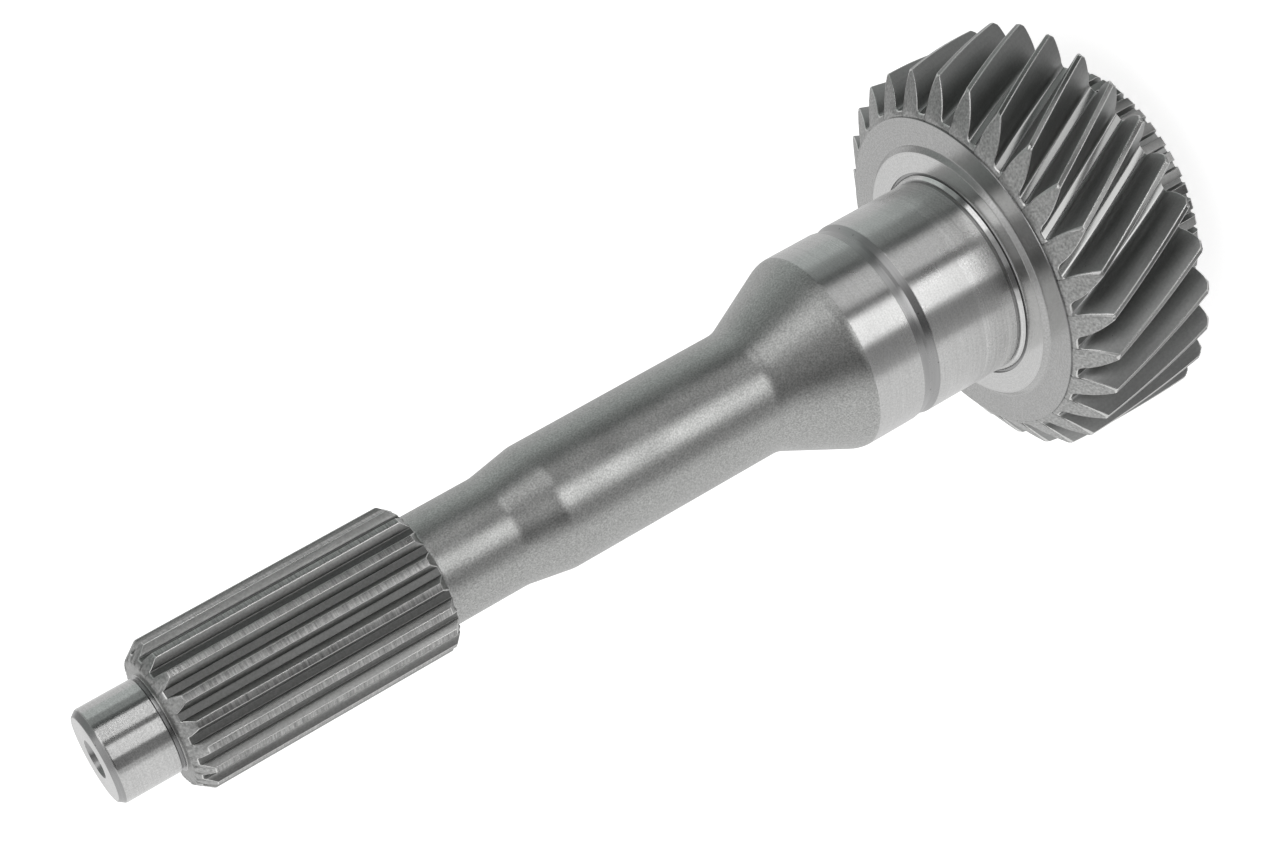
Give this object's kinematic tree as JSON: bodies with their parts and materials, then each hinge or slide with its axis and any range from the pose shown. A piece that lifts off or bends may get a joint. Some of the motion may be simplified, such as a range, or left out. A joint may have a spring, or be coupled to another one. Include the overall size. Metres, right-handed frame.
{
  "type": "gearbox input shaft",
  "caption": "One-piece steel input shaft with pilot journal, clutch spline, seal land, bearing seat, helical constant-mesh gear and clutch ring.",
  "frame": {"origin": "centre of the gear end face, on the shaft's axis", "axes": "+Z along the shaft's axis, from the gear end to the pilot end"},
  "size_m": [0.11, 0.11, 0.312],
  "materials": {
    "steel": "ground bright on the seats and the pilot, shot-peened matte grey on the shank, dark phosphated tooth flanks"
  },
  "bodies": {
    "root": {"input_shaft": "steel"}
  },
  "joints": []
}
